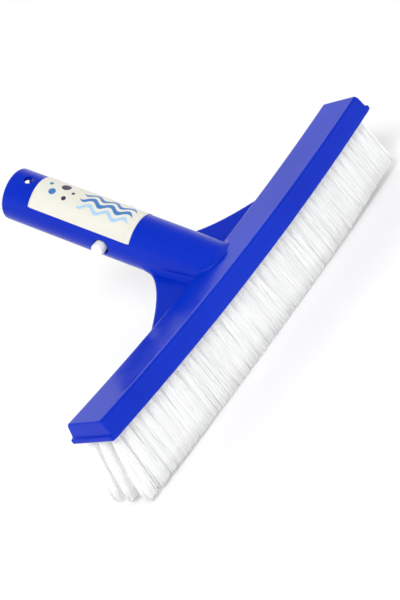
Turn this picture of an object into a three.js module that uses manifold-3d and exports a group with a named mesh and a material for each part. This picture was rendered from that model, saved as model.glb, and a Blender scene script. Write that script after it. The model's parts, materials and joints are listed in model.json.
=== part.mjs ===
// Pool wall brush, 10 inch: a bowed head bar with flared nylon tufts, a sloping handle tube that plugs into a
// telescopic pole, thin webs on both sides of the tube, and a spring clip whose two buttons lock the pole.
//
// Millimetres, +Z up. X runs along the head, and the handle slopes up towards -Y. The origin is under the
// middle of the whole brush, at the height of the lowest bristle tips.
//
// Inside the file every piece is first placed in the head's own frame: X = 0 is mid-length, Y = 0 is the
// head's middle plane, and Z = 0 is the underside at mid-length.

import * as THREE from "three";
import { mergeVertices } from "three/addons/utils/BufferGeometryUtils.js";
import Module from "manifold-3d";

// ---------------------------------------------------------------- driving dimensions

const HEAD_LENGTH = 254;
const HEAD_WIDTH = 24.8;
const HEAD_HEIGHT = 10.6;
const HEAD_EDGE_RADIUS = 2.6;
const HEAD_END_ROUND = 1;
const HEAD_DRAFT = THREE.MathUtils.degToRad(13);
const BOW_RADIUS = 1876;
const BOW_STEPS = 7;

const LIP_OVERHANG = 1.9;
const LIP_END_OVERHANG = 1.4;
const LIP_HEIGHT = 2.8;
const LIP_ROUND = 0.9;
const LIP_END_ROUND = 0.8;

const TUBE_SLOPE = THREE.MathUtils.degToRad(34);
const TUBE_RADIUS = 14;
const TUBE_WALL = 2.8;
const TUBE_LENGTH = 122.4;
const TUBE_INNER_END = -3;
const TUBE_AXIS_Y = -12.4;
const TUBE_AXIS_Z = 2.6;
const TUBE_SIDES = 32;
const BORE_START = 22;
const MOUTH_ROUND = 1.2;
const UNDERSIDE_TRIM = 80;

const BUTTON_AT = 61.2;
const BUTTON_SLOT_HALF_WIDTH = 3.85;
const BUTTON_SLOT_SHIFT = 0.9;
const BUTTON_RADIUS = 3.5;
const BUTTON_STANDS_OUT = 3.9;
const BUTTON_DOME = 1.4;
const BUTTON_DOME_STEPS = 4;
const BUTTON_SIDES = 20;
const TOP_HOLE_AT = 112.5;
const TOP_HOLE_RADIUS = 2.5;
const TOP_HOLE_SIDES = 14;

const WEB_SLOPE = THREE.MathUtils.degToRad(26);
const WEB_THICKNESS = 2.8;
const WEB_AXIS_Z = 3.2;
const WEB_FOOT_HALF = 72;
const WEB_RISE = 33;
const WEB_CURVE_AT_FOOT = [42, 10];
const WEB_CURVE_AT_TUBE = [19, 21];
const WEB_INSIDE_HEAD = 4;
const WEB_INSIDE_TUBE = 1.4;

const TUFT_PITCH = 6.35;
const TUFT_COUNT = 39;
const TUFT_STAGGER = 0.25;
const ROW_COUNT = 5;
const ROW_PITCH = 4.15;
const ROW_LEAN = THREE.MathUtils.degToRad(3.2);
const SECTION_COUNT = 7;
const SECTION_TUFTS = [6, 5];
const SECTION_HALF_AT_MERGE = 2;
const SECTION_HALF_AT_TIP = 2.7;
const END_FLARE = 4;
const TUFT_FREE_LENGTH = 32;
const TUFT_MERGE_DEPTH = 12;
const TUFT_NECK_INSIDE = 1;
const TUFT_ROOT_DEPTH = 6.2;
const TUFT_ROOT_RADIUS = 1.6;
const TUFT_MERGE_RADIUS = 1.95;
const TUFT_SIDES = 6;
const TUFT_HOLE_RADIUS = 2.2;
const TUFT_HOLE_DEPTH = 6.8;

const CLIP_THICKNESS = 1.8;
const CLIP_WIDTH = 6;
const CLIP_BEND_AT = 96;
const CLIP_BEND_RADIUS = 6.5;
const CLIP_FREE_END = 57;
const CLIP_FREE_END_X = 10.2;
const CLIP_ARM_SLANT = (CLIP_FREE_END_X - CLIP_BEND_RADIUS) / (CLIP_BEND_AT - CLIP_FREE_END);

const LABEL_FROM = 44.5;
const LABEL_TO = 106;
const LABEL_HALF_ANGLE = THREE.MathUtils.degToRad(59);
const LABEL_THICKNESS = 0.25;
const LABEL_STEPS = 14;

const GAP = 0.3;
const PAST = 5;

// ---------------------------------------------------------------- materials

const bluePlastic = new THREE.MeshStandardMaterial({ color: 0x0a33c8, roughness: 0.22, metalness: 0 });
const whiteNylon = new THREE.MeshStandardMaterial({ color: 0xeef1f2, roughness: 0.55, metalness: 0 });
const whitePlastic = new THREE.MeshStandardMaterial({ color: 0xf2f2ee, roughness: 0.3, metalness: 0 });
const labelFilm = new THREE.MeshStandardMaterial({ color: 0xefece0, roughness: 0.4, metalness: 0 });

// ---------------------------------------------------------------- solids

const wasm = await Module();
wasm.setup();

// A closed three.js geometry as a solid that can be joined and cut.
function solidOf(geometry, matrix = new THREE.Matrix4()) {
  const bare = geometry.clone().applyMatrix4(matrix);
  bare.deleteAttribute("normal");
  bare.deleteAttribute("uv");
  const merged = mergeVertices(bare, 1e-4);
  const vertProperties = new Float32Array(merged.attributes.position.array);
  const triVerts = new Uint32Array(merged.index.array);
  return new wasm.Manifold(new wasm.Mesh({ numProp: 3, vertProperties, triVerts }));
}

function geometryOf(solid) {
  const mesh = solid.getMesh();
  const geometry = new THREE.BufferGeometry();
  geometry.setAttribute("position", new THREE.BufferAttribute(new Float32Array(mesh.vertProperties), 3));
  geometry.setIndex(new THREE.BufferAttribute(new Uint32Array(mesh.triVerts), 1));
  geometry.computeVertexNormals();
  return geometry;
}

function namedMesh(name, geometry, material) {
  const mesh = new THREE.Mesh(geometry, material);
  mesh.name = name;
  return mesh;
}

// Turns a shape drawn in (Y, Z) and extruded by depth into a bar along X, centred on X = 0.
function barAlongX(shape, length, options) {
  const geometry = new THREE.ExtrudeGeometry(shape, { depth: length, bevelEnabled: false, ...options });
  geometry.translate(0, 0, -length / 2);
  const axes = new THREE.Matrix4().makeBasis(
    new THREE.Vector3(0, 1, 0), new THREE.Vector3(0, 0, 1), new THREE.Vector3(1, 0, 0));
  return geometry.applyMatrix4(axes);
}

// Bends a straight bar along X so that its ends rise, on a circle centred above the head.
function bend(geometry) {
  const position = geometry.attributes.position;
  for (let i = 0; i < position.count; i += 1) {
    const angle = position.getX(i) / BOW_RADIUS;
    const radius = BOW_RADIUS - position.getZ(i);
    position.setX(i, radius * Math.sin(angle));
    position.setZ(i, BOW_RADIUS - radius * Math.cos(angle));
  }
  return geometry;
}

// A cylinder along one axis of its frame, from one place on that axis to another.
function rod(radius, from, to, sides, axis = "y") {
  const geometry = new THREE.CylinderGeometry(radius, radius, to - from, sides);
  geometry.translate(0, (from + to) / 2, 0);
  if (axis === "x") geometry.rotateZ(-Math.PI / 2);
  if (axis === "z") geometry.rotateX(Math.PI / 2);
  return geometry;
}

// The handle's frame: Y runs up the tube's axis to its mouth, X is the head's X, and -Z is the tube's top.
const handleFrame = new THREE.Matrix4()
  .makeRotationX(Math.PI - TUBE_SLOPE)
  .setPosition(0, TUBE_AXIS_Y, TUBE_AXIS_Z);

// ---------------------------------------------------------------- head and handle moulding

// Extrusion options that round off both ends of a bar without making its section any larger.
function roundedEnds(round) {
  return {
    bevelEnabled: true, bevelThickness: round, bevelSize: round, bevelOffset: -round, bevelSegments: 2,
  };
}

// The head's body, which starts inside the lip. Its sides spread towards the lip by the moulding's draft.
function headBar() {
  const half = HEAD_WIDTH / 2;
  const r = HEAD_EDGE_RADIUS;
  const bottom = LIP_HEIGHT / 3;
  const arcX = half - r + r * Math.cos(HEAD_DRAFT);
  const arcZ = HEAD_HEIGHT - r + r * Math.sin(HEAD_DRAFT);
  const foot = arcX + (arcZ - bottom) * Math.tan(HEAD_DRAFT);
  const shape = new THREE.Shape();
  shape.moveTo(-foot, bottom);
  shape.lineTo(foot, bottom);
  shape.absarc(half - r, HEAD_HEIGHT - r, r, HEAD_DRAFT, Math.PI / 2);
  shape.absarc(-half + r, HEAD_HEIGHT - r, r, Math.PI / 2, Math.PI - HEAD_DRAFT);
  shape.closePath();
  return bend(barAlongX(shape, HEAD_LENGTH - 2 * HEAD_END_ROUND, {
    steps: BOW_STEPS, curveSegments: 4, ...roundedEnds(HEAD_END_ROUND),
  }));
}

// The flat bead that runs round the head's underside and stands out past its sides and ends.
function lipBead() {
  const half = HEAD_WIDTH / 2 + LIP_OVERHANG;
  const r = LIP_ROUND;
  const shape = new THREE.Shape();
  shape.moveTo(-half + r, 0);
  shape.absarc(half - r, r, r, -Math.PI / 2, 0);
  shape.absarc(half - r, LIP_HEIGHT - r, r, 0, Math.PI / 2);
  shape.absarc(-half + r, LIP_HEIGHT - r, r, Math.PI / 2, Math.PI);
  shape.absarc(-half + r, r, r, Math.PI, Math.PI * 1.5);
  return bend(barAlongX(shape, HEAD_LENGTH + 2 * LIP_END_OVERHANG - 2 * LIP_END_ROUND, {
    steps: BOW_STEPS, curveSegments: 2, ...roundedEnds(LIP_END_ROUND),
  }));
}

function tubeOutside() {
  const halfway = MOUTH_ROUND * (1 - Math.SQRT1_2);
  const profile = [
    new THREE.Vector2(0, TUBE_INNER_END),
    new THREE.Vector2(TUBE_RADIUS, TUBE_INNER_END),
    new THREE.Vector2(TUBE_RADIUS, TUBE_LENGTH - MOUTH_ROUND),
    new THREE.Vector2(TUBE_RADIUS - halfway, TUBE_LENGTH - halfway),
    new THREE.Vector2(TUBE_RADIUS - MOUTH_ROUND, TUBE_LENGTH),
    new THREE.Vector2(0, TUBE_LENGTH),
  ];
  return new THREE.LatheGeometry(profile, TUBE_SIDES);
}

// The thin fan on both sides of the tube: its edge is one smooth curve from the tube down to the head.
function webPlate() {
  const [footX, footUp] = WEB_CURVE_AT_FOOT;
  const [tubeX, tubeUp] = WEB_CURVE_AT_TUBE;
  const innerX = TUBE_RADIUS - WEB_INSIDE_TUBE;
  const innerUp = WEB_RISE + WEB_INSIDE_TUBE;
  const shape = new THREE.Shape();
  shape.moveTo(-WEB_FOOT_HALF, -WEB_INSIDE_HEAD);
  shape.lineTo(WEB_FOOT_HALF, -WEB_INSIDE_HEAD);
  shape.lineTo(WEB_FOOT_HALF, 0);
  shape.bezierCurveTo(footX, footUp, tubeX, tubeUp, TUBE_RADIUS, WEB_RISE);
  shape.lineTo(innerX, innerUp);
  shape.lineTo(-innerX, innerUp);
  shape.lineTo(-TUBE_RADIUS, WEB_RISE);
  shape.bezierCurveTo(-tubeX, tubeUp, -footX, footUp, -WEB_FOOT_HALF, 0);
  shape.closePath();
  const geometry = new THREE.ExtrudeGeometry(shape, {
    depth: WEB_THICKNESS, bevelEnabled: false, curveSegments: 12 });
  geometry.translate(0, 0, -WEB_THICKNESS / 2);
  const place = new THREE.Matrix4()
    .makeRotationX(Math.PI - WEB_SLOPE)
    .setPosition(0, -HEAD_WIDTH / 2, WEB_AXIS_Z);
  return geometry.applyMatrix4(place);
}

// A block below the underside, which trims the tube and the web flush with it.
function underTheHead() {
  const box = new THREE.BoxGeometry(UNDERSIDE_TRIM, UNDERSIDE_TRIM, UNDERSIDE_TRIM);
  return box.translate(0, 0, -UNDERSIDE_TRIM / 2);
}

// Short slots right through the tube, longer than the buttons on the head's side, where the buttons swing.
function buttonSlots() {
  const r = BUTTON_SLOT_HALF_WIDTH;
  const across = TUBE_RADIUS + PAST;
  const shape = new THREE.Shape();
  shape.moveTo(r, BUTTON_AT - BUTTON_SLOT_SHIFT);
  shape.absarc(0, BUTTON_AT, r, 0, Math.PI);
  shape.absarc(0, BUTTON_AT - BUTTON_SLOT_SHIFT, r, Math.PI, 2 * Math.PI);
  const slots = new THREE.ExtrudeGeometry(shape, {
    depth: 2 * across, bevelEnabled: false, curveSegments: BUTTON_SIDES / 2 });
  return slots.translate(0, 0, -across).rotateY(Math.PI / 2);
}

function tuftHoles() {
  const holes = [];
  for (const section of tuftSections()) {
    for (const x of section.tufts) {
      const hole = rod(TUFT_HOLE_RADIUS, -PAST, TUFT_HOLE_DEPTH, TUFT_SIDES, "z");
      holes.push(solidOf(hole.translate(x, 0, 0), section.matrix));
    }
  }
  return wasm.Manifold.union(holes);
}

function headAndHandle() {
  const bore = rod(TUBE_RADIUS - TUBE_WALL, BORE_START, TUBE_LENGTH + PAST, TUBE_SIDES);
  const across = TUBE_RADIUS + PAST;
  const topHole = rod(TOP_HOLE_RADIUS, -across, 0, TOP_HOLE_SIDES, "z");
  topHole.translate(0, TOP_HOLE_AT, 0);
  let solid = solidOf(tubeOutside(), handleFrame);
  solid = solid.add(solidOf(webPlate()));
  solid = solid.subtract(solidOf(underTheHead()));
  solid = solid.add(solidOf(headBar()));
  solid = solid.add(solidOf(lipBead()));
  for (const cut of [bore, buttonSlots(), topHole]) solid = solid.subtract(solidOf(cut, handleFrame));
  solid = solid.subtract(tuftHoles());
  return namedMesh("head_and_handle", geometryOf(solid), bluePlastic);
}

// ---------------------------------------------------------------- tufts

// Rows shifted in turn by part of the pitch to either side, each parted into sections of six or five tufts. The
// outer rows lean outwards, and every section stands square to the bowed underside. Tuft places are measured
// from the section's middle.
function tuftSections() {
  const sections = [];
  for (let row = 0; row < ROW_COUNT; row += 1) {
    const fromMiddle = row - (ROW_COUNT - 1) / 2;
    const stagger = row % 2 === 0 ? TUFT_STAGGER : -TUFT_STAGGER;
    let first = 0;
    for (let part = 0; part < SECTION_COUNT; part += 1) {
      const tuftsHere = SECTION_TUFTS[part % 2];
      const middle = first + (tuftsHere - 1) / 2 - (TUFT_COUNT - 1) / 2 + stagger;
      const tufts = [];
      for (let i = 0; i < tuftsHere; i += 1) tufts.push((i - (tuftsHere - 1) / 2) * TUFT_PITCH);
      first += tuftsHere;
      const bow = new THREE.Matrix4()
        .makeRotationY(-middle * TUFT_PITCH / BOW_RADIUS)
        .setPosition(0, 0, BOW_RADIUS);
      const lean = fromMiddle * ROW_LEAN;
      const leaning = new THREE.Matrix4()
        .makeRotationX(lean)
        .setPosition(0, fromMiddle * ROW_PITCH, -BOW_RADIUS);
      const name = `bristles_row${row + 1}_part${part + 1}`;
      const outerEnd = part === 0 ? -1 : Number(part === SECTION_COUNT - 1);
      sections.push({ name, tufts, lean, outerEnd, matrix: bow.multiply(leaning) });
    }
  }
  return sections;
}

// Spreads the tips outwards at one end of a run of tufts, where the brush face ends.
function flareEnd(slab, side) {
  const position = slab.attributes.position;
  for (let i = 0; i < position.count; i += 1) {
    const atTip = position.getZ(i) < -TUFT_FREE_LENGTH / 2;
    const atEnd = position.getX(i) * side > 0;
    if (atTip && atEnd) position.setX(i, position.getX(i) + side * END_FLARE);
  }
  return slab;
}

// A run of tufts: separate roots in their holes, which close up into one brush face trimmed level with the
// head's underside.
function tuftSection(section) {
  const neckBottom = -TUFT_MERGE_DEPTH - TUFT_NECK_INSIDE;
  const slant = SECTION_HALF_AT_TIP * Math.tan(section.lean);
  const reach = TUFT_FREE_LENGTH / Math.cos(section.lean);
  const shape = new THREE.Shape();
  shape.moveTo(-SECTION_HALF_AT_TIP, -reach + slant);
  shape.lineTo(SECTION_HALF_AT_TIP, -reach - slant);
  shape.lineTo(SECTION_HALF_AT_MERGE, -TUFT_MERGE_DEPTH);
  shape.lineTo(-SECTION_HALF_AT_MERGE, -TUFT_MERGE_DEPTH);
  shape.closePath();
  const slab = flareEnd(barAlongX(shape, section.tufts.length * TUFT_PITCH - GAP), section.outerEnd);
  let solid = solidOf(slab);
  for (const x of section.tufts) {
    const tuft = new THREE.CylinderGeometry(
      TUFT_ROOT_RADIUS, TUFT_MERGE_RADIUS, TUFT_ROOT_DEPTH - neckBottom, TUFT_SIDES);
    tuft.rotateX(Math.PI / 2);
    tuft.translate(x, 0, (TUFT_ROOT_DEPTH + neckBottom) / 2);
    solid = solid.add(solidOf(tuft));
  }
  const mesh = namedMesh(section.name, geometryOf(solid), whiteNylon);
  mesh.applyMatrix4(section.matrix);
  return mesh;
}

// ---------------------------------------------------------------- spring clip and buttons

// The clip lies in the tube's middle plane. Its bend faces the mouth, and each arm runs back to its button.
function clipBend() {
  const outer = CLIP_BEND_RADIUS;
  const inner = outer - CLIP_THICKNESS;
  const shape = new THREE.Shape();
  shape.moveTo(outer, 0);
  shape.absarc(0, 0, outer, 0, Math.PI);
  shape.lineTo(-inner, 0);
  shape.absarc(0, 0, inner, Math.PI, 0, true);
  shape.closePath();
  const geometry = new THREE.ExtrudeGeometry(shape, {
    depth: CLIP_WIDTH, bevelEnabled: false, curveSegments: 12 });
  geometry.translate(0, CLIP_BEND_AT, -CLIP_WIDTH / 2);
  return namedMesh("clip_bend", geometry, whitePlastic);
}

// One arm, which starts just short of the bend and slants out to its button.
function clipArm(name, side) {
  const top = CLIP_BEND_AT - GAP;
  const outerAtBend = CLIP_BEND_RADIUS;
  const shape = new THREE.Shape();
  shape.moveTo(side * outerAtBend, top);
  shape.lineTo(side * (outerAtBend - CLIP_THICKNESS), top);
  shape.lineTo(side * (CLIP_FREE_END_X - CLIP_THICKNESS), CLIP_FREE_END);
  shape.lineTo(side * CLIP_FREE_END_X, CLIP_FREE_END);
  shape.closePath();
  const geometry = new THREE.ExtrudeGeometry(shape, { depth: CLIP_WIDTH, bevelEnabled: false });
  geometry.translate(0, 0, -CLIP_WIDTH / 2);
  return namedMesh(name, geometry, whitePlastic);
}

// A round button with a rolled edge, standing on its arm and out through the tube's wall.
function lockButton(name, side) {
  const farEdge = CLIP_BEND_AT - (BUTTON_AT - BUTTON_RADIUS);
  const base = CLIP_BEND_RADIUS + CLIP_ARM_SLANT * farEdge + GAP;
  const tip = TUBE_RADIUS + BUTTON_STANDS_OUT;
  const profile = [new THREE.Vector2(0, base), new THREE.Vector2(BUTTON_RADIUS, base)];
  for (let i = 0; i <= BUTTON_DOME_STEPS; i += 1) {
    const angle = (i / BUTTON_DOME_STEPS) * Math.PI / 2;
    profile.push(new THREE.Vector2(
      BUTTON_RADIUS - BUTTON_DOME + BUTTON_DOME * Math.cos(angle),
      tip - BUTTON_DOME + BUTTON_DOME * Math.sin(angle)));
  }
  profile.push(new THREE.Vector2(0, tip));
  const geometry = new THREE.LatheGeometry(profile, BUTTON_SIDES);
  geometry.rotateZ(-side * Math.PI / 2);
  geometry.translate(0, BUTTON_AT, 0);
  return namedMesh(name, geometry, whitePlastic);
}

// ---------------------------------------------------------------- label

// A thin film bent round the tube's upper side.
function label() {
  const inner = TUBE_RADIUS + GAP / 2;
  const outer = inner + LABEL_THICKNESS;
  const middle = Math.PI / 2;
  const shape = new THREE.Shape();
  shape.absarc(0, 0, outer, middle - LABEL_HALF_ANGLE, middle + LABEL_HALF_ANGLE);
  shape.absarc(0, 0, inner, middle + LABEL_HALF_ANGLE, middle - LABEL_HALF_ANGLE, true);
  shape.closePath();
  const geometry = new THREE.ExtrudeGeometry(shape, {
    depth: LABEL_TO - LABEL_FROM, bevelEnabled: false, curveSegments: LABEL_STEPS });
  geometry.rotateX(-Math.PI / 2);
  geometry.translate(0, LABEL_FROM, 0);
  return namedMesh("label", geometry, labelFilm);
}

// ---------------------------------------------------------------- assembly

const head = new THREE.Group();
head.add(headAndHandle());
for (const section of tuftSections()) head.add(tuftSection(section));

const handle = new THREE.Group();
handle.applyMatrix4(handleFrame);
handle.add(clipBend());
handle.add(clipArm("clip_arm_right", 1), clipArm("clip_arm_left", -1));
handle.add(lockButton("lock_button_right", 1), lockButton("lock_button_left", -1));
handle.add(label());
head.add(handle);

const brush = new THREE.Group();
brush.add(head);
brush.updateMatrixWorld(true);
const box = new THREE.Box3().setFromObject(brush, true);
head.position.set(0, -(box.min.y + box.max.y) / 2, -box.min.z);
brush.updateMatrixWorld(true);

export default brush;
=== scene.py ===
"""Pool wall brush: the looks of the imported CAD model.

A bowed blue moulding with a handle tube and thin webs, five rows of white nylon tufts, a sprung clip with
two lock buttons inside the tube, and a printed film label round the tube's upper side. Sizes inside the
file are in millimetres in the head's own frame: X = 0 is mid-length, Y = 0 is the head's middle plane, and
Z = 0 is the underside at mid-length. Every piece is put into the shared frame, in metres, as its mesh is
made.
"""

import itertools
import json
import math

import bmesh
import bpy
import numpy as np
from mathutils import Matrix, Vector


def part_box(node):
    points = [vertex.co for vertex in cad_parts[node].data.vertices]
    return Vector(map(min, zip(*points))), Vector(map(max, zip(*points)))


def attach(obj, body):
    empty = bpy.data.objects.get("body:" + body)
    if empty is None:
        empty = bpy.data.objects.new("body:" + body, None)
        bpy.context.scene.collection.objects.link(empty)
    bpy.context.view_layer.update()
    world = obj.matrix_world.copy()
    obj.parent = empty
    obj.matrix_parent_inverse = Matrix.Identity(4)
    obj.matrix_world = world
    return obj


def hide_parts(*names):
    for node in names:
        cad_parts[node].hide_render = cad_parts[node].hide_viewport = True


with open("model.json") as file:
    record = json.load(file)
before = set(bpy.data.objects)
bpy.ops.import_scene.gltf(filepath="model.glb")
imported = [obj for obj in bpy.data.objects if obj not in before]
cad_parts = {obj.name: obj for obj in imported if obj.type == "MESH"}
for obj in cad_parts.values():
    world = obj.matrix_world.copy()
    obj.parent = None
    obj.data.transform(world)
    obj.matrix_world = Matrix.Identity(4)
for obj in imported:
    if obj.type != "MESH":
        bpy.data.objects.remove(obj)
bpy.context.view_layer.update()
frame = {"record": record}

# ---------------------------------------------------------------- sizes, as the CAD model has them

MM = 0.001

HEAD_LENGTH = 254.0
HEAD_WIDTH = 24.8
HEAD_HEIGHT = 10.6
HEAD_ROUND = 2.0
HEAD_END_ROUND = 0.9
HEAD_DRAFT = math.radians(13)
BOW_RADIUS = 1876.0

LIP_HALF_LENGTH = 128.4
LIP_HALF_WIDTH = 14.3
LIP_HEIGHT = 2.8
LIP_ROUND = 0.8
LIP_GROOVE_ROUND = 0.3

TUBE_SLOPE = math.radians(34)
TUBE_RADIUS = 14.0
TUBE_BORE_RADIUS = 11.2
TUBE_LENGTH = 122.4
TUBE_INNER_END = -3.0
TUBE_AXIS_Y = -12.4
TUBE_AXIS_Z = 2.6
BORE_START = 22.0
BUTTON_AT = 61.2
BUTTON_SLOT_HALF_WIDTH = 3.85
BUTTON_SLOT_SHIFT = 0.9
TOP_HOLE_AT = 112.5
TOP_HOLE_RADIUS = 2.5

WEB_SLOPE = math.radians(26)
WEB_THICKNESS = 2.8
WEB_AXIS_Z = 3.2
WEB_CURVE = ((72.0, 0.0), (42.0, 10.0), (19.0, 21.0), (14.0, 33.0))

ROW_COUNT = 5
ROW_PITCH = 4.15
ROW_LEAN = math.radians(3.2)
TUFT_COUNT = 39
TUFT_PITCH = 6.35
TUFT_STAGGER = 0.25
SECTION_TUFTS = (6, 5, 6, 5, 6, 5, 6)
TUFT_FREE_LENGTH = 32.0
TUFT_HOLE_RADIUS = 2.15
TUFT_HOLE_DEPTH = 3.2

CLIP_THICKNESS = 1.8
CLIP_WIDTH = 6.0
CLIP_BEND_AT = 96.0
CLIP_BEND_RADIUS = 6.5
CLIP_FREE_END = 57.0
CLIP_FREE_END_X = 10.2
CLIP_JOINT_GAP = 0.15
BUTTON_RADIUS = 3.5
BUTTON_STANDS_OUT = 3.9

LABEL_FROM = 44.5
LABEL_TO = 106.0
LABEL_HALF_ANGLE = math.radians(59)
LABEL_INNER_RADIUS = 14.03
LABEL_THICKNESS = 0.2

# ---------------------------------------------------------------- camera

CAMERA_AIM = Vector((0.00241, 0.01823, 0.01960))
CAMERA_DISTANCE = 0.84942
CAMERA_AZIMUTH = math.radians(-128.87)
CAMERA_LOOKS_DOWN = math.radians(22.775)
CAMERA_ROLL = math.radians(34.64)
CAMERA_LENS = 99.59
CAMERA_SENSOR = 36.0
CAMERA_SEES_FROM = 0.01
CAMERA_SEES_TO = 50.0


def make_camera():
    """A camera at the product view's angle, rolled so that the head runs from corner to corner."""
    flat = math.cos(CAMERA_LOOKS_DOWN)
    forward = Vector((flat * math.cos(CAMERA_AZIMUTH), flat * math.sin(CAMERA_AZIMUTH),
                      -math.sin(CAMERA_LOOKS_DOWN)))
    level_right = forward.cross(Vector((0, 0, 1))).normalized()
    level_up = level_right.cross(forward)
    up = level_up * math.cos(CAMERA_ROLL) + level_right * math.sin(CAMERA_ROLL)
    right = forward.cross(up)
    data = bpy.data.cameras.new("camera")
    data.lens = CAMERA_LENS
    data.sensor_width = CAMERA_SENSOR
    data.clip_start = CAMERA_SEES_FROM
    data.clip_end = CAMERA_SEES_TO
    camera = bpy.data.objects.new("camera", data)
    turned = Matrix((right, up, -forward)).transposed().to_4x4()
    camera.matrix_world = Matrix.Translation(CAMERA_AIM - forward * CAMERA_DISTANCE) @ turned
    bpy.context.scene.collection.objects.link(camera)
    bpy.context.scene.camera = camera


# ---------------------------------------------------------------- frames and meshes

def head_origin():
    """The head's own origin in the shared frame, in millimetres: a tuft's length above the bristle mount."""
    mounts = {mount["name"]: mount for mount in frame["record"]["mounts"]}
    place = np.array(mounts["bristle_face"]["pos_m"]) / MM
    return place + (0, 0, TUFT_FREE_LENGTH)


HEAD_ORIGIN = head_origin()


def from_handle(x, along, rise):
    """Points given across the tube, along its axis and above it, in the head's frame."""
    y = TUBE_AXIS_Y - along * math.cos(TUBE_SLOPE) + rise * math.sin(TUBE_SLOPE)
    z = TUBE_AXIS_Z + along * math.sin(TUBE_SLOPE) + rise * math.cos(TUBE_SLOPE)
    return np.stack([x, y, z], axis=-1)


def from_bow(along, y, up):
    """Points given along the bowed underside, across it and above it, in the head's frame."""
    angle = along / BOW_RADIUS
    x = (BOW_RADIUS - up) * np.sin(angle)
    z = BOW_RADIUS - (BOW_RADIUS - up) * np.cos(angle)
    return np.stack([x, y, z], axis=-1)


def make_piece(name, points, faces, material, body, nodes):
    """A mesh object that rides on a body and stands for CAD nodes."""
    mesh = bpy.data.meshes.new(name)
    mesh.from_pydata((np.asarray(points) + HEAD_ORIGIN) * MM, [], faces)
    mesh.materials.append(material)
    mesh.update()
    piece = bpy.data.objects.new(name, mesh)
    bpy.context.scene.collection.objects.link(piece)
    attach(piece, body)
    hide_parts(*nodes)
    return piece


# ---------------------------------------------------------------- solids as distances

def round_union(a, b, radius):
    """Two solids joined with a fillet."""
    inside = np.hypot(np.maximum(radius - a, 0), np.maximum(radius - b, 0))
    return np.maximum(radius, np.minimum(a, b)) - inside


def round_overlap(a, b, radius):
    """What two solids share, with the edge between them rounded."""
    outside = np.hypot(np.maximum(radius + a, 0), np.maximum(radius + b, 0))
    return np.minimum(-radius, np.maximum(a, b)) + outside


def round_cut(a, hole, radius):
    """A solid less a hole, with the edge between them rounded."""
    return round_overlap(a, -hole, radius)


def round_box(x, y, z, half, radius):
    """A box about the origin with all its edges rounded, given its half sizes."""
    q = [np.abs(value) - (size - radius) for value, size in zip((x, y, z), half)]
    outside = np.sqrt(sum(np.maximum(value, 0) ** 2 for value in q))
    inside = np.minimum(np.maximum(np.maximum(q[0], q[1]), q[2]), 0)
    return outside + inside - radius


def web_edge_curve(count=65):
    """The web's free edge from its foot to the tube, as its distance up the slope against X."""
    t = np.linspace(0, 1, count)[:, None]
    a, b, c, d = (np.array(point) for point in WEB_CURVE)
    curve = (1 - t) ** 3 * a + 3 * (1 - t) ** 2 * t * b + 3 * (1 - t) * t ** 2 * c + t ** 3 * d
    return curve[::-1]


WEB_EDGE = web_edge_curve()
WEB_EDGE_SLOPE = np.gradient(WEB_EDGE[:, 1], WEB_EDGE[:, 0])
WEB_FALL_PAST_FOOT = 3.0
WEB_EDGE_ROUND = 1.1
WEB_TUBE_FILLET = 2.6
HANDLE_FILLET = 1.8
TUBE_INNER_ROUND = 3.2
MOUTH_ROUND = 1.2
BORE_ROUND = 0.7
HOLE_ROUND = 0.45
TUFT_HOLE_ROUND = 0.25
UNDERSIDE_ROUND = 0.7
BELOW = 4.0
HEAD_DRAFT_EASE = 0.25


def head_solid(along, y, up):
    """The drafted bar on its flat lip, both running on below the underside, which is cut later."""
    side = (np.abs(y) - HEAD_WIDTH / 2) * math.cos(HEAD_DRAFT)
    side = side + (up - HEAD_HEIGHT) * math.sin(HEAD_DRAFT)
    bar = round_overlap(side + HEAD_DRAFT_EASE, up - HEAD_HEIGHT, HEAD_ROUND)
    bar = round_overlap(bar, np.abs(along) - HEAD_LENGTH / 2, HEAD_END_ROUND)
    half_lip = (LIP_HEIGHT + BELOW) / 2
    lip = round_box(along, y, up - LIP_HEIGHT + half_lip,
                    (LIP_HALF_LENGTH, LIP_HALF_WIDTH, half_lip), LIP_ROUND)
    return round_union(bar, lip, LIP_GROOVE_ROUND)


def tube_solid(radial, t):
    """The handle tube, solid, given distances from its axis and along it."""
    tube = round_overlap(radial - TUBE_RADIUS, t - TUBE_LENGTH, MOUTH_ROUND)
    return round_overlap(tube, TUBE_INNER_END - t, TUBE_INNER_ROUND)


def web_solid(x, y, z):
    """The thin webs on both sides of the tube, as one flat plate with a curved edge."""
    behind = y + HEAD_WIDTH / 2
    above = z - WEB_AXIS_Z
    u = -behind * math.cos(WEB_SLOPE) + above * math.sin(WEB_SLOPE)
    normal = behind * math.sin(WEB_SLOPE) + above * math.cos(WEB_SLOPE)
    side = np.abs(x)
    foot = WEB_CURVE[0][0]
    edge = np.interp(side, WEB_EDGE[:, 0], WEB_EDGE[:, 1])
    edge -= np.maximum(side - foot, 0) / WEB_FALL_PAST_FOOT
    slope = np.interp(side, WEB_EDGE[:, 0], WEB_EDGE_SLOPE)
    past_edge = (u - edge) / np.hypot(1, slope)
    return round_overlap(past_edge, np.abs(normal) - WEB_THICKNESS / 2, WEB_EDGE_ROUND)


def tuft_holes(along, y, up):
    """All the blind holes in the underside."""
    nearest = np.full(along.shape, BELOW)
    for row in range(ROW_COUNT):
        from_middle, lean, stagger = row_place(row)
        from_row = y - from_middle * ROW_PITCH
        across = from_row * math.cos(lean) + up * math.sin(lean)
        depth = up * math.cos(lean) - from_row * math.sin(lean)
        shifted = along - stagger
        number = np.clip(np.round(shifted / TUFT_PITCH), -LAST_TUFT, LAST_TUFT)
        sideways = shifted - number * TUFT_PITCH
        hole = np.maximum(np.hypot(sideways, across) - TUFT_HOLE_RADIUS, depth - TUFT_HOLE_DEPTH)
        nearest = np.minimum(nearest, hole)
    return nearest


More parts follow.
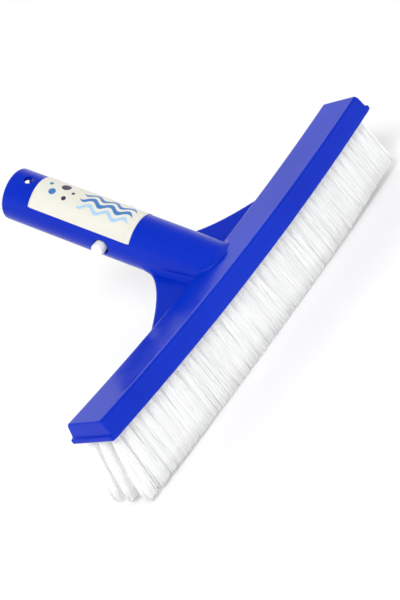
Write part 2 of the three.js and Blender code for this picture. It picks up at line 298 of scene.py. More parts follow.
def moulding_distance(points):
    """How far points are outside the one-piece head, tube and webs; negative inside."""
    x, y, z = points.T
    along = BOW_RADIUS * np.arctan2(x, BOW_RADIUS - z)
    up = BOW_RADIUS - np.hypot(x, BOW_RADIUS - z)
    behind = y - TUBE_AXIS_Y
    above = z - TUBE_AXIS_Z
    t = -behind * math.cos(TUBE_SLOPE) + above * math.sin(TUBE_SLOPE)
    rise = behind * math.sin(TUBE_SLOPE) + above * math.cos(TUBE_SLOPE)
    radial = np.hypot(x, rise)
    tube = tube_solid(radial, t)
    web = web_solid(x, y, z)
    handle = round_union(tube, web, WEB_TUBE_FILLET)
    solid = round_union(head_solid(along, y, up), handle, HANDLE_FILLET)
    solid = round_overlap(solid, -up, UNDERSIDE_ROUND)
    solid = round_cut(solid, np.maximum(radial - TUBE_BORE_RADIUS, BORE_START - t), BORE_ROUND)
    half_slot = BUTTON_SLOT_SHIFT / 2
    past_slot = np.maximum(np.abs(t - BUTTON_AT + half_slot) - half_slot, 0)
    solid = round_cut(solid, np.hypot(past_slot, rise) - BUTTON_SLOT_HALF_WIDTH, HOLE_ROUND)
    top_hole = np.maximum(np.hypot(t - TOP_HOLE_AT, x) - TOP_HOLE_RADIUS, -rise)
    solid = round_cut(solid, top_hole, HOLE_ROUND)
    return round_cut(solid, tuft_holes(along, y, up), TUFT_HOLE_ROUND)


# ---------------------------------------------------------------- a mesh round a distance function

BLOCK = 8
BLOCK_MARGIN = 1.2
CORNERS = tuple(itertools.product((0, 1), repeat=3))
PROBES = np.array(((1, -1, -1), (-1, -1, 1), (-1, 1, -1), (1, 1, 1)), float)
PROBE_REACH = 0.03
LEAST_SLOPE_SQUARED = 0.25
TINY = 1e-9
RELAX_ROUNDS = 2


def corner_views(values):
    """The values at each of the eight corners of every cell, as views of one grid."""
    size = [n - 1 for n in values.shape]
    return [values[i:i + size[0], j:j + size[1], k:k + size[2]] for i, j, k in CORNERS]


def sample_near_surface(distance, low, step, blocks):
    """Distances on a grid, worked out only in blocks that the surface can pass through."""
    block = step * BLOCK
    reach = np.linalg.norm(block) / 2 * BLOCK_MARGIN
    centres = low + (np.indices(blocks).reshape(3, -1).T + 0.5) * block
    coarse = distance(centres).reshape(blocks)
    spread = np.ones((BLOCK, BLOCK, BLOCK))
    far = np.kron(np.where(coarse < 0, -reach, reach), spread).astype(np.float32)
    values = np.pad(far, ((0, 1),) * 3, mode="edge")
    near = np.kron(np.abs(coarse) < reach, spread).astype(bool)
    wanted = np.zeros(values.shape, bool)
    for view in corner_views(wanted):
        view |= near
    values[wanted] = distance(low + np.argwhere(wanted) * step)
    return values


def net_points(values, cells, low, step):
    """One point in each cell that the surface crosses: the middle of the crossings on the cell's edges."""
    total = np.zeros(cells.shape)
    hits = np.zeros((len(cells), 1))
    for axis in range(3):
        others = [(axis + 1) % 3, (axis + 2) % 3]
        for shift in itertools.product((0, 1), repeat=2):
            start = cells.copy()
            start[:, others] += shift
            end = start.copy()
            end[:, axis] += 1
            first = values[tuple(start.T)].astype(float)
            last = values[tuple(end.T)].astype(float)
            crossed = (first < 0) != (last < 0)
            place = start[crossed].astype(float)
            place[:, axis] += first[crossed] / (first[crossed] - last[crossed])
            total[crossed] += place
            hits[crossed] += 1
    return low + total / hits * step


def net_faces(inside, number):
    """A quad round each grid edge that the surface crosses, facing out."""
    faces = []
    for axis in range(3):
        others = [(axis + 1) % 3, (axis + 2) % 3]
        first = np.take(inside, range(inside.shape[axis] - 1), axis)
        last = np.take(inside, range(1, inside.shape[axis]), axis)
        edges = np.argwhere(first != last)
        leaving = first[tuple(edges.T)]
        quad = []
        for shift in ((-1, -1), (0, -1), (0, 0), (-1, 0)):
            cell = edges.copy()
            cell[:, others] += shift
            quad.append(number[tuple(cell.T)])
        quad = np.stack(quad, axis=1)
        faces.append(np.where(leaving[:, None], quad, quad[:, ::-1]))
    return np.concatenate(faces)


def slope_and_distance(distance, points):
    """The direction in which the distance grows, and the distance, from four probes round each point."""
    slope = np.zeros(points.shape)
    middle = np.zeros(len(points))
    for probe in PROBES:
        value = distance(points + probe * PROBE_REACH)
        slope += value[:, None] * probe
        middle += value
    return slope / (len(PROBES) * PROBE_REACH), middle / len(PROBES)


def project(distance, points, most):
    """Moves points onto the surface, by no more than a given length."""
    slope, value = slope_and_distance(distance, points)
    move = value[:, None] * slope / np.maximum((slope ** 2).sum(1, keepdims=True), LEAST_SLOPE_SQUARED)
    length = np.linalg.norm(move, axis=1, keepdims=True)
    return points - move * np.minimum(1, most / np.maximum(length, TINY))


def relax(points, faces):
    """Moves each point half way to the middle of its neighbours."""
    ends = np.concatenate([faces, np.roll(faces, 1, axis=1)]).ravel()
    starts = np.concatenate([np.roll(faces, 1, axis=1), faces]).ravel()
    count = np.bincount(starts, minlength=len(points))
    middle = np.stack([np.bincount(starts, points[ends, axis], len(points)) for axis in range(3)], axis=1)
    return (points + middle / count[:, None]) / 2


def surface_net(distance, low, high, step):
    """An even quad mesh round a solid given as distances: points, faces, and the normal at each point."""
    blocks = np.ceil((high - low) / (step * BLOCK)).astype(int)
    values = sample_near_surface(distance, low, step, blocks)
    inside = values < 0
    corners = sum(view.astype(np.int8) for view in corner_views(inside))
    cells = np.argwhere((corners > 0) & (corners < 8))
    number = np.full(corners.shape, -1)
    number[tuple(cells.T)] = np.arange(len(cells))
    points = net_points(values, cells, low, step)
    faces = net_faces(inside, number)
    limit = step.min() / 2
    for _ in range(RELAX_ROUNDS):
        points = project(distance, relax(points, faces), limit)
    points = project(distance, project(distance, points, limit), limit)
    normals, _ = slope_and_distance(distance, points)
    normals /= np.linalg.norm(normals, axis=1, keepdims=True)
    return points, faces, normals


# ---------------------------------------------------------------- head and handle moulding

MOULDING_STEP = np.array((0.8, 0.65, 0.65))
MOULDING_MARGIN = 1.3


def make_moulding(material):
    """The whole blue moulding as one closed surface."""
    step = MOULDING_STEP * 1
    low, high = (np.array(corner) / MM - HEAD_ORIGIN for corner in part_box("head_and_handle"))
    points, faces, normals = surface_net(
        moulding_distance, low - MOULDING_MARGIN, high + MOULDING_MARGIN, step)
    piece = make_piece("head_and_handle_moulding", points, faces, material, "brush",
                       ["head_and_handle"])
    piece.data.normals_split_custom_set_from_vertices(normals)
    return piece


# ---------------------------------------------------------------- tufts

FILAMENTS = 72
FILAMENT_RADIUS = 0.2
FILAMENT_SIDES = 4
FILAMENT_LEVELS = 6
ROOT_RADIUS = 1.85
ROOT_DEPTH = 2.4
SPREAD_ALONG = 4.0
SPREAD_ACROSS = 2.9
SPREAD_JITTER = 0.4
SPREAD_ALONG_LIMIT = 5.2
SPREAD_ACROSS_LIMIT = 3.8
OUTER_ROW_LIMIT = 2.35
END_TUFT_LIMIT = 2.6
END_FLARE = 3.9
FAR_END_FLARE = 0.3
END_FLARE_REACH = 12.0
SPREAD_POWER = 0.72
WANDER = 0.15
TRIM_JITTER = 0.45
TUFT_LEAN = 0.12
TRIM_TILT = 1.8
HANDLE_SIDE_CURL = 1.1
FOLD_BACK = 0.8
GOLDEN_ANGLE = math.pi * (3 - math.sqrt(5))
LAST_ROW = (ROW_COUNT - 1) / 2
LAST_TUFT = (TUFT_COUNT - 1) / 2
TUFT_SEED = 20


def row_place(row):
    """A row's number from the middle one, its lean, and how far it is shifted along the head."""
    from_middle = row - LAST_ROW
    stagger = TUFT_STAGGER if row % 2 == 0 else -TUFT_STAGGER
    return from_middle, from_middle * ROW_LEAN, stagger * TUFT_PITCH


def outer_limit(offset, side, limit):
    """Folds back the tips that would reach past the brush's outline, on the outermost side of a tuft."""
    past = offset * side - limit
    return np.where(past > 0, side * (limit - past % FOLD_BACK), offset)


def tuft_tips(rng, root, row, from_middle_tuft):
    """Where one tuft's filaments end, along the head and across the row, given their places in the root."""
    from_middle_row, _, _ = row_place(row)
    reach = np.linalg.norm(root, axis=1, keepdims=True)
    squared = root / np.abs(root).max(axis=1, keepdims=True) * reach
    tip = (root + squared) / 2 * (SPREAD_ALONG, SPREAD_ACROSS)
    tip += rng.normal(0, SPREAD_JITTER, root.shape)
    tip += rng.normal(0, TUFT_LEAN, 2)
    tip[:, 0] = np.clip(tip[:, 0], -SPREAD_ALONG_LIMIT, SPREAD_ALONG_LIMIT)
    tip[:, 1] = np.clip(tip[:, 1], -SPREAD_ACROSS_LIMIT, SPREAD_ACROSS_LIMIT)
    if abs(from_middle_row) == LAST_ROW:
        tip[:, 1] = outer_limit(tip[:, 1], np.sign(from_middle_row), OUTER_ROW_LIMIT)
    if abs(from_middle_tuft) == LAST_TUFT:
        tip[:, 0] = outer_limit(tip[:, 0], np.sign(from_middle_tuft), END_TUFT_LIMIT)
    past = max((abs(from_middle_tuft) - LAST_TUFT) * TUFT_PITCH + END_FLARE_REACH, 0) / END_FLARE_REACH
    tip[:, 0] += (END_FLARE if from_middle_tuft > 0 else -FAR_END_FLARE) * past ** 2
    tip[:, 1] += HANDLE_SIDE_CURL * max(-from_middle_row, 0)
    return tip


def tuft_filaments(rng, count, row, from_middle_tuft):
    """Middle lines of one tuft's filaments, as (filament, level, 3): along the head, across the row, up."""
    _, lean, _ = row_place(row)
    order = (np.arange(count) + 0.5) / count
    turn = np.arange(count) * GOLDEN_ANGLE + rng.uniform(0, 2 * math.pi)
    root = np.stack([np.cos(turn), np.sin(turn)], axis=1) * np.sqrt(order)[:, None]
    tip = tuft_tips(rng, root, row, from_middle_tuft)
    share = np.linspace(0, 1, FILAMENT_LEVELS)[None, :, None]
    start = root[:, None] * ROOT_RADIUS
    side = start + (tip[:, None] - start) * share ** SPREAD_POWER
    side += rng.normal(0, WANDER, (count, 1, 2)) * np.sin(math.pi * share)
    trim = rng.uniform(0, TRIM_JITTER, count)
    towards_end = from_middle_tuft / LAST_TUFT
    reach = TUFT_FREE_LENGTH + TRIM_TILT * towards_end * abs(towards_end)
    lowest = (trim - reach - tip[:, 1] * math.sin(lean)) / math.cos(lean)
    up = ROOT_DEPTH + (lowest[:, None] - ROOT_DEPTH) * share[:, :, 0]
    return np.dstack([side, up])


def tubes_round(lines, radius):
    """A closed four-sided tube round each middle line: points and faces."""
    count, levels, _ = lines.shape
    turn = (np.arange(FILAMENT_SIDES) + 0.5) * 2 * math.pi / FILAMENT_SIDES
    ring = np.stack([np.cos(turn), np.sin(turn), np.zeros(FILAMENT_SIDES)], axis=1) * radius
    points = (lines[:, :, None] + ring).reshape(-1, 3)
    first = np.arange(count * levels).reshape(count, levels) * FILAMENT_SIDES
    corner = np.arange(FILAMENT_SIDES)
    following = (corner + 1) % FILAMENT_SIDES
    above = first[:, :-1, None]
    below = first[:, 1:, None]
    walls = np.stack([above + corner, below + corner, below + following, above + following], axis=-1)
    top = first[:, 0, None] + corner
    bottom = first[:, -1, None] + corner[::-1]
    return points, np.concatenate([walls.reshape(-1, 4), top, bottom])


def make_section(row, part, first, rng, material):
    """The filaments of one run of tufts, as one piece."""
    from_middle, lean, stagger = row_place(row)
    count = FILAMENTS
    radius = FILAMENT_RADIUS
    groups = []
    for tuft in range(first, first + SECTION_TUFTS[part]):
        from_middle_tuft = tuft - LAST_TUFT
        lines = tuft_filaments(rng, count, row, from_middle_tuft)
        lines[:, :, 0] += from_middle_tuft * TUFT_PITCH + stagger
        groups.append(lines)
    points, faces = tubes_round(np.concatenate(groups), radius)
    along, across, up = points.T
    y = from_middle * ROW_PITCH + across * math.cos(lean) - up * math.sin(lean)
    placed = from_bow(along, y, across * math.sin(lean) + up * math.cos(lean))
    place = f"row{row + 1}_part{part + 1}"
    piece = make_piece(f"tufts_{place}", placed, faces, material, "brush",
                       [f"bristles_{place}"])
    piece.data.shade_smooth()


def make_tufts(material):
    """All the tufts, row by row, from one seeded run of random numbers."""
    rng = np.random.default_rng(TUFT_SEED)
    for row in range(ROW_COUNT):
        first = 0
        for part, tufts in enumerate(SECTION_TUFTS):
            make_section(row, part, first, rng, material)
            first += tufts


# ---------------------------------------------------------------- clip and buttons

STRIP_EDGE = 0.45
STRIP_CORNER_STEPS = 4
STRIP_END_STEPS = 3
STRIP_LEAST_EDGE = 0.1
ARM_STEPS = 4
BEND_STEPS = 28
BUTTON_SIDES = 64
BUTTON_DOME = 1.3
BUTTON_CROWN = 0.25
DOME_STEPS = 8
CROWN_SHARES = (0.66, 0.33)


def round_rectangle(thickness, width, edge):
    """A closed outline with rounded corners, as (thickness, width) places going round."""
    outline = []
    for quarter, (sx, sy) in enumerate(((1, 1), (-1, 1), (-1, -1), (1, -1))):
        centre = np.array((sx * (thickness / 2 - edge), sy * (width / 2 - edge)))
        for step in range(STRIP_CORNER_STEPS + 1):
            angle = (quarter + step / STRIP_CORNER_STEPS) * math.pi / 2
            outline.append(centre + edge * np.array((math.cos(angle), math.sin(angle))))
    return np.array(outline)


def ring_faces(rings, size):
    """The faces of a closed solid made of rings of points: two ends and the walls between."""
    faces = [tuple(range(size))[::-1]]
    for ring in range(rings - 1):
        for corner in range(size):
            a = ring * size + corner
            b = ring * size + (corner + 1) % size
            faces.append((a, b, b + size, a + size))
    faces.append(tuple(range((rings - 1) * size, rings * size)))
    return faces


def inward_from_end(side, towards):
    """The direction square to the strip's side that leads into the strip."""
    ahead = np.array((-side[1], side[0]))
    return ahead if np.dot(ahead, towards) > 0 else -ahead


def end_rings(place, side, inward):
    """The rings that round off one end of a strip, from the end inwards."""
    rings = []
    for step in range(STRIP_END_STEPS):
        angle = math.pi / 2 * (step + 1) / STRIP_END_STEPS
        inset = STRIP_EDGE * (1 - math.sin(angle))
        back = STRIP_EDGE * (1 - math.cos(angle))
        outline = round_rectangle(CLIP_THICKNESS - 2 * inset, CLIP_WIDTH - 2 * inset,
                                  max(STRIP_EDGE - inset, STRIP_LEAST_EDGE))
        rings.append(np.column_stack([place + inward * back + outline[:, :1] * side, outline[:, 1]]))
    return rings


def strip(path, sides):
    """A flat spring strip along a path in the tube's middle plane: points and faces."""
    outline = round_rectangle(CLIP_THICKNESS, CLIP_WIDTH, STRIP_EDGE)
    rings = end_rings(path[0], sides[0], inward_from_end(sides[0], path[1] - path[0]))
    for place, side in zip(path[1:-1], sides[1:-1]):
        rings.append(np.column_stack([place + outline[:, :1] * side, outline[:, 1]]))
    rings += end_rings(path[-1], sides[-1], inward_from_end(sides[-1], path[-2] - path[-1]))[::-1]
    return np.concatenate(rings), ring_faces(len(rings), len(outline))


def make_strip(name, path, sides, material, body, node):
    """One length of the clip's strip, as a piece."""
    points, faces = strip(np.array(path), np.array(sides))
    piece = make_piece(name, from_handle(*points.T), faces, material, body, [node])
    outward(piece)
    piece.data.shade_smooth()
    return piece


def outward(piece):
    """Makes every face of a closed piece look outwards."""
    solid = bmesh.new()
    solid.from_mesh(piece.data)
    bmesh.ops.recalc_face_normals(solid, faces=solid.faces)
    solid.to_mesh(piece.data)
    solid.free()


def make_clip_bend(material):
    """The half-round bend that joins the clip's two arms."""
    middle = CLIP_BEND_RADIUS - CLIP_THICKNESS / 2
    turn = [math.pi * step / BEND_STEPS for step in range(BEND_STEPS + 1)]
    sides = [(math.cos(angle), math.sin(angle)) for angle in turn]
    path = [(middle * x, CLIP_BEND_AT + middle * y) for x, y in sides]
    make_strip("clip_spring_bend", path, sides, material, "brush", "clip_bend")


def make_clip_arm(side, name, material, body, node):
    """One straight arm, from the bend to its button."""
    half = CLIP_THICKNESS / 2
    start = np.array((side * (CLIP_BEND_RADIUS - half), CLIP_BEND_AT - CLIP_JOINT_GAP))
    end = np.array((side * (CLIP_FREE_END_X - half), CLIP_FREE_END))
    ahead = (end - start) / np.linalg.norm(end - start)
    across = (-ahead[1], ahead[0])
    path = [start + (end - start) * step / ARM_STEPS for step in range(ARM_STEPS + 1)]
    make_strip(name, path, [across] * len(path), material, body, node)


def button_profile():
    """The button's radius and reach from the tube's axis, from its base over the domed edge to the crown."""
    slant = (CLIP_FREE_END_X - CLIP_BEND_RADIUS) / (CLIP_BEND_AT - CLIP_FREE_END)
    base = CLIP_BEND_RADIUS + slant * (CLIP_BEND_AT - BUTTON_AT) - CLIP_THICKNESS / 2
    tip = TUBE_RADIUS + BUTTON_STANDS_OUT
    profile = [(BUTTON_RADIUS, base), (BUTTON_RADIUS, (base + tip) / 2)]
    for step in range(DOME_STEPS + 1):
        angle = math.pi / 2 * step / DOME_STEPS
        profile.append((BUTTON_RADIUS - BUTTON_DOME * (1 - math.cos(angle)),
                        tip - BUTTON_CROWN - BUTTON_DOME * (1 - math.sin(angle))))
    flat = BUTTON_RADIUS - BUTTON_DOME
    for share in CROWN_SHARES:
        profile.append((flat * share, tip - BUTTON_CROWN * share ** 2))
    return profile


def make_button(side, name, material, body, node):
    """One lock button: its profile turned about its own axis."""
    turn = np.arange(BUTTON_SIDES) * 2 * math.pi / BUTTON_SIDES
    rings = []
    for radius, out in button_profile():
        rings.append(np.column_stack([np.full(BUTTON_SIDES, side * out), BUTTON_AT + radius * np.cos(turn),
                                      radius * np.sin(turn)]))
    points = np.concatenate(rings)
    faces = ring_faces(len(rings), BUTTON_SIDES)
    piece = make_piece(name, from_handle(*points.T), faces, material, body, [node])
    outward(piece)
    piece.data.shade_smooth()


def make_clip(material):
    """The spring clip and its two buttons: each arm and its button ride on their own lock body."""
    make_clip_bend(material)
    for side, word in ((1, "right"), (-1, "left")):
        body = f"{word}_lock"
        make_clip_arm(side, f"clip_spring_arm_{word}", material, body, f"clip_arm_{word}")
        make_button(side, f"lock_button_domed_{word}", material, body, f"lock_button_{word}")


# ---------------------------------------------------------------- label

LABEL_STEPS_ROUND = 64
LABEL_STEPS_ALONG = 48
LABEL_CORNER = 0.4
PRINT_UNIT = 100.0


def label_outline():
    """The label laid flat, as grids of places along it and across it, in from its corners' rounding."""
    half = LABEL_HALF_ANGLE * LABEL_INNER_RADIUS
    length = LABEL_TO - LABEL_FROM
    share_round = np.linspace(0, 1, LABEL_STEPS_ROUND + 1)
    share_along = np.linspace(0, 1, LABEL_STEPS_ALONG + 1)
    along, round_it = np.meshgrid(share_along * length, (share_round * 2 - 1) * half, indexing="ij")
    into_corner = np.maximum(LABEL_CORNER - np.minimum(along, length - along), 0)
    inset = LABEL_CORNER - np.sqrt(np.maximum(LABEL_CORNER ** 2 - into_corner ** 2, 0))
    return along, round_it * (half - inset) / half


def film_faces(rows, columns):
    """The faces of a thin closed film: its top, its underside and its rim."""
    count = rows * columns
    index = np.arange(count).reshape(rows, columns)
    corners = [index[:-1, :-1], index[1:, :-1], index[1:, 1:], index[:-1, 1:]]
    top = np.stack(corners, axis=-1).reshape(-1, 4)
    rim = np.concatenate([index[:-1, 0], index[-1, :-1], index[:0:-1, -1], index[0, :0:-1]])
    following = np.roll(rim, -1)
    walls = np.stack([rim, rim + count, following + count, following], axis=-1)
    return np.concatenate([top, top[:, ::-1] + count, walls])


def map_print(piece, along, round_it):
    """Gives the label a flat map of itself, in units of PRINT_UNIT millimetres."""
    flat = np.column_stack([along.ravel(), round_it.ravel()])
    flat = np.concatenate([flat, flat])
    corner = np.zeros(len(piece.data.loops), int)
    piece.data.loops.foreach_get("vertex_index", corner)
    layer = piece.data.uv_layers.new(name="print")
    layer.uv.foreach_set("vector", (flat[corner] / PRINT_UNIT).ravel())


def make_label(material):
    """A film bent round the tube, with a flat map of itself for the print."""
    along, round_it = label_outline()
    angle = round_it / LABEL_INNER_RADIUS
    layers = []
    for radius in (LABEL_INNER_RADIUS + LABEL_THICKNESS, LABEL_INNER_RADIUS):
        layer = from_handle(radius * np.sin(angle), LABEL_FROM + along, radius * np.cos(angle))
        layers.append(layer.reshape(-1, 3))
    piece = make_piece("label_film", np.concatenate(layers), film_faces(*angle.shape), material, "brush",
                       ["label"])
    outward(piece)
    piece.data.shade_smooth()
    map_print(piece, along, round_it)


# ---------------------------------------------------------------- materials

class Nodes:
    """A new Principled material and short ways to add nodes to it."""

    def __init__(self, name):
        self.material = bpy.data.materials.new(name)
        self.material.use_nodes = True
        self.tree = self.material.node_tree
        self.shader = self.tree.nodes["Principled BSDF"]

    def add(self, kind, **settings):
        node = self.tree.nodes.new(kind)
        for key, value in settings.items():
            setattr(node, key, value)
        return node

    def link(self, source, target):
        self.tree.links.new(source, target)

    def set(self, **values):
        for key, value in values.items():
            self.shader.inputs[key.replace("_", " ")].default_value = value

    def place(self):
        return self.add("ShaderNodeTexCoord").outputs["Object"]

    def noise(self, scale, detail=3.0, rough=0.5, where=None):
        node = self.add("ShaderNodeTexNoise")
        node.inputs["Scale"].default_value = scale
        node.inputs["Detail"].default_value = detail
        node.inputs["Roughness"].default_value = rough
        self.link(where or self.place(), node.inputs["Vector"])
        return node.outputs["Fac"]

    def span(self, value, low, high, from_low=0.0, from_high=1.0):
        node = self.add("ShaderNodeMapRange")
        node.inputs["From Min"].default_value = from_low
        node.inputs["From Max"].default_value = from_high
        node.inputs["To Min"].default_value = low
        node.inputs["To Max"].default_value = high
        self.link(value, node.inputs["Value"])
        return node.outputs["Result"]

    def math(self, operation, *values):
        node = self.add("ShaderNodeMath", operation=operation)
        for socket, value in zip(node.inputs, values):
            if isinstance(value, (int, float)):
                socket.default_value = value
            else:
                self.link(value, socket)
        return node.outputs[0]

    def mix(self, share, first, second):
        node = self.add("ShaderNodeMix", data_type="RGBA")
        self.link(share, node.inputs["Factor"])
        for socket, value in ((node.inputs[6], first), (node.inputs[7], second)):
            if isinstance(value, tuple):
                socket.default_value = (*value, 1)
            else:
                self.link(value, socket)
        return node.outputs[2]

    def bump(self, heights):
        """Stacks bumps, each (height, strength, depth in metres)."""
        normal = None
        for height, strength, depth in heights:
            node = self.add("ShaderNodeBump")
            node.inputs["Strength"].default_value = strength
            node.inputs["Distance"].default_value = depth
            self.link(height, node.inputs["Height"])
            if normal is not None:
                self.link(normal, node.inputs["Normal"])
            normal = node.outputs["Normal"]
        self.link(normal, self.shader.inputs["Normal"])


def blue_plastic():
    """Glossy moulded polypropylene: deep blue, with faint flow marks, orange peel and handling scuffs."""
    nodes = Nodes("blue_plastic")
    flow = nodes.noise(14, 2.0)
    colour = nodes.mix(nodes.span(flow, 0, 1, 0.35, 0.65), (0.0, 0.019, 0.42), (0.0, 0.025, 0.48))
    nodes.link(colour, nodes.shader.inputs["Base Color"])
    scuffs = nodes.noise(70, 6.0, 0.7)
    nodes.link(nodes.span(scuffs, 0.12, 0.24, 0.3, 0.75), nodes.shader.inputs["Roughness"])
    nodes.set(IOR=1.49, Specular_IOR_Level=0.15)
    nodes.bump([(nodes.noise(160, 2.0), 0.05, 0.0006), (nodes.noise(1400, 3.0), 0.05, 0.0001)])
    return nodes.material


def white_nylon():
    """Satin nylon filament, a little cloudy, with a faint painted glow: a weak white emission that stands in
    for the light that passes through it.
    """
    nodes = Nodes("white_nylon")
    cloud = nodes.noise(120, 3.0)
    colour = nodes.mix(nodes.span(cloud, 0, 1, 0.3, 0.7), (0.95, 0.965, 0.965), (0.99, 0.99, 0.985))
    nodes.link(colour, nodes.shader.inputs["Base Color"])
    nodes.link(nodes.span(nodes.noise(500, 2.0), 0.28, 0.45), nodes.shader.inputs["Roughness"])
    nodes.set(IOR=1.53, Specular_IOR_Level=0.3, Subsurface_Weight=0.6, Subsurface_Scale=0.002)
    # Painted glow: a weak white emission that lifts the filaments and the shade between them, standing in
    # for light passing through the nylon.
    nodes.set(Subsurface_Radius=(1, 1, 1), Emission_Color=(1, 1, 1, 1), Emission_Strength=0.1)
    nodes.bump([(nodes.noise(2500, 2.0), 0.15, 0.00005)])
    return nodes.material


def white_plastic():
    """Satin moulded acetal."""
    nodes = Nodes("white_plastic")
    cloud = nodes.noise(60, 3.0)
    colour = nodes.mix(nodes.span(cloud, 0, 1, 0.3, 0.7), (0.80, 0.81, 0.80), (0.88, 0.89, 0.88))
    nodes.link(colour, nodes.shader.inputs["Base Color"])
    nodes.link(nodes.span(nodes.noise(300, 4.0), 0.25, 0.42), nodes.shader.inputs["Roughness"])
    nodes.set(IOR=1.48)
    nodes.bump([(nodes.noise(1800, 3.0), 0.12, 0.0001)])
    return nodes.material


PRINT_BLUE = (0.035, 0.17, 0.45)
PRINT_PLUM = (0.035, 0.014, 0.05)
PRINT_PALE = (0.36, 0.55, 0.74)
FILM_CREAM = (0.66, 0.65, 0.56)
FILM_LIGHT = (0.72, 0.71, 0.64)
RIPPLES = ((-5.2, 1.15), (-0.6, 1.35), (4.0, 1.1))
RIPPLE_FROM = 4.0
RIPPLE_TO = 36.0
RIPPLE_LENGTH = 10.5
RIPPLE_HEIGHT = 1.5
RIPPLE_TAPER = 0.35
RIPPLE_COLOURS = (PRINT_BLUE, PRINT_BLUE, PRINT_PALE)
BUBBLES = ((47.0, -4.2, 2.6), (52.0, 2.0, 2.0), (44.0, 3.6, 1.3), (55.5, -3.0, 1.1), (41.0, -1.2, 0.9))
INK_EDGE = 0.12


def inked(nodes, film, inside, colour):
    """Prints a colour where the distance inside a shape is positive, with a crisp edge."""
    return nodes.mix(nodes.span(inside, 0, 1, -INK_EDGE, INK_EDGE), film, colour)


def print_ripples(nodes, film, along, round_it):
    """Three wavy lines along the tube, tapered at both ends."""
    wave = nodes.math("SINE", nodes.math("MULTIPLY", along, 2 * math.pi / RIPPLE_LENGTH))
    inside_ends = nodes.math("MINIMUM", nodes.math("SUBTRACT", along, RIPPLE_FROM),
                             nodes.math("SUBTRACT", RIPPLE_TO, along))
    for (centre, thick), colour in zip(RIPPLES, RIPPLE_COLOURS):
        line = nodes.math("MULTIPLY_ADD", wave, RIPPLE_HEIGHT, centre)
        away = nodes.math("ABSOLUTE", nodes.math("SUBTRACT", round_it, line))
        taper = nodes.math("MINIMUM", nodes.math("MULTIPLY", inside_ends, RIPPLE_TAPER), thick)
        film = inked(nodes, film, nodes.math("SUBTRACT", taper, away), colour)
    return film


def print_bubbles(nodes, film, along, round_it):
    """Round dots near the mouth's end, plum and blue by turns."""
    for index, (centre_along, centre_round, radius) in enumerate(BUBBLES):
        dx = nodes.math("SUBTRACT", along, centre_along)
        dy = nodes.math("SUBTRACT", round_it, centre_round)
        away = nodes.math("SQRT", nodes.math("MULTIPLY_ADD", dx, dx, nodes.math("MULTIPLY", dy, dy)))
        colour = PRINT_PLUM if index % 2 == 0 else PRINT_BLUE
        film = inked(nodes, film, nodes.math("SUBTRACT", radius, away), colour)
    return film


def label_film():
    """Cream vinyl film printed with three ripples and a few bubbles."""
    nodes = Nodes("label_film")
    flat = nodes.add("ShaderNodeUVMap", uv_map="print").outputs["UV"]
    split = nodes.add("ShaderNodeSeparateXYZ")
    nodes.link(flat, split.inputs["Vector"])
    along = nodes.math("MULTIPLY", split.outputs["X"], PRINT_UNIT)
    round_it = nodes.math("MULTIPLY", split.outputs["Y"], PRINT_UNIT)
    film = nodes.mix(nodes.span(nodes.noise(45, 4.0), 0, 1, 0.3, 0.7), FILM_CREAM, FILM_LIGHT)
    film = print_ripples(nodes, film, along, round_it)
    film = print_bubbles(nodes, film, along, round_it)
    nodes.link(film, nodes.shader.inputs["Base Color"])
    nodes.link(nodes.span(nodes.noise(90, 4.0), 0.3, 0.45), nodes.shader.inputs["Roughness"])
    nodes.set(IOR=1.5)
    nodes.bump([(nodes.noise(55, 2.0), 0.08, 0.0008), (nodes.noise(900, 3.0), 0.06, 0.0001)])
    return nodes.material


# ---------------------------------------------------------------- stage and light

FLOOR_HALF = 12.0
FLOOR_GREY = 0.9
WORLD_LOW = 1.2
WORLD_HIGH = 0.55
WORLD_FADE_FROM = 0.35
WORLD_FADE_TO = 0.75
PANELS = (
    ("key", (0.6, 0.46, 0.75), 1.6, (0.5, 0.5), 12),
    ("back", (-0.5, -0.75, 0.8), 1.8, (1.4, 0.6), 6),
)


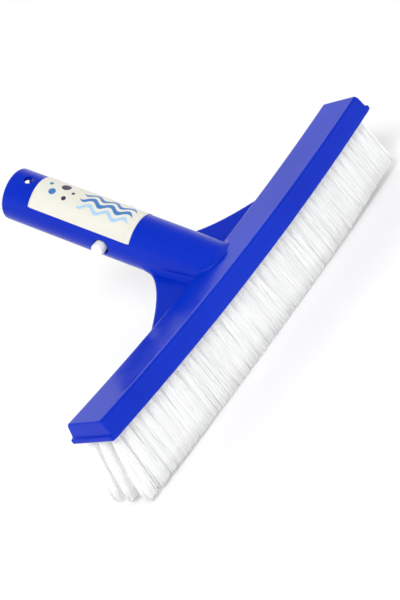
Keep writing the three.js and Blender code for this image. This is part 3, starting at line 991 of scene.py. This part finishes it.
def make_floor():
    """A plain pale floor under the tips of the bristles."""
    nodes = Nodes("floor")
    nodes.set(Base_Color=(FLOOR_GREY, FLOOR_GREY, FLOOR_GREY, 1), Roughness=0.9)
    mesh = bpy.data.meshes.new("floor")
    corners = [(x * FLOOR_HALF, y * FLOOR_HALF, 0) for x, y in ((-1, -1), (1, -1), (1, 1), (-1, 1))]
    mesh.from_pydata(corners, [], [(0, 1, 2, 3)])
    mesh.materials.append(nodes.material)
    floor = bpy.data.objects.new("floor", mesh)
    bpy.context.scene.collection.objects.link(floor)


def make_world():
    """A white studio: bright round the horizon and dimmer overhead."""
    world = bpy.data.worlds.new("studio")
    bpy.context.scene.world = world
    world.use_nodes = True
    tree = world.node_tree
    background = tree.nodes["Background"]
    place = tree.nodes.new("ShaderNodeTexCoord")
    split = tree.nodes.new("ShaderNodeSeparateXYZ")
    shade = tree.nodes.new("ShaderNodeMapRange")
    shade.inputs["From Min"].default_value = WORLD_FADE_FROM
    shade.inputs["From Max"].default_value = WORLD_FADE_TO
    shade.inputs["To Min"].default_value = WORLD_LOW
    shade.inputs["To Max"].default_value = WORLD_HIGH
    tree.links.new(place.outputs["Generated"], split.inputs["Vector"])
    tree.links.new(split.outputs["Z"], shade.inputs["Value"])
    tree.links.new(shade.outputs["Result"], background.inputs["Strength"])
    background.inputs["Color"].default_value = (1, 1, 1, 1)


def add_panel(name, towards, distance, size, power):
    """A softbox that shines on the brush from a direction, at a distance in metres."""
    data = bpy.data.lights.new(name, "AREA")
    data.shape = "RECTANGLE"
    data.size = size[0]
    data.size_y = size[1]
    data.energy = power
    lamp = bpy.data.objects.new(name, data)
    direction = Vector(towards).normalized()
    lamp.location = direction * distance
    lamp.rotation_euler = direction.to_track_quat("Z", "Y").to_euler()
    bpy.context.scene.collection.objects.link(lamp)


def make_light():
    """Soft studio light: the white world and two softboxes."""
    bpy.context.scene.view_settings.view_transform = "Standard"
    make_world()
    for panel in PANELS:
        add_panel(*panel)


# ---------------------------------------------------------------- the scene

make_camera()
make_floor()
make_light()
make_moulding(blue_plastic())
make_tufts(white_nylon())
make_clip(white_plastic())
make_label(label_film())
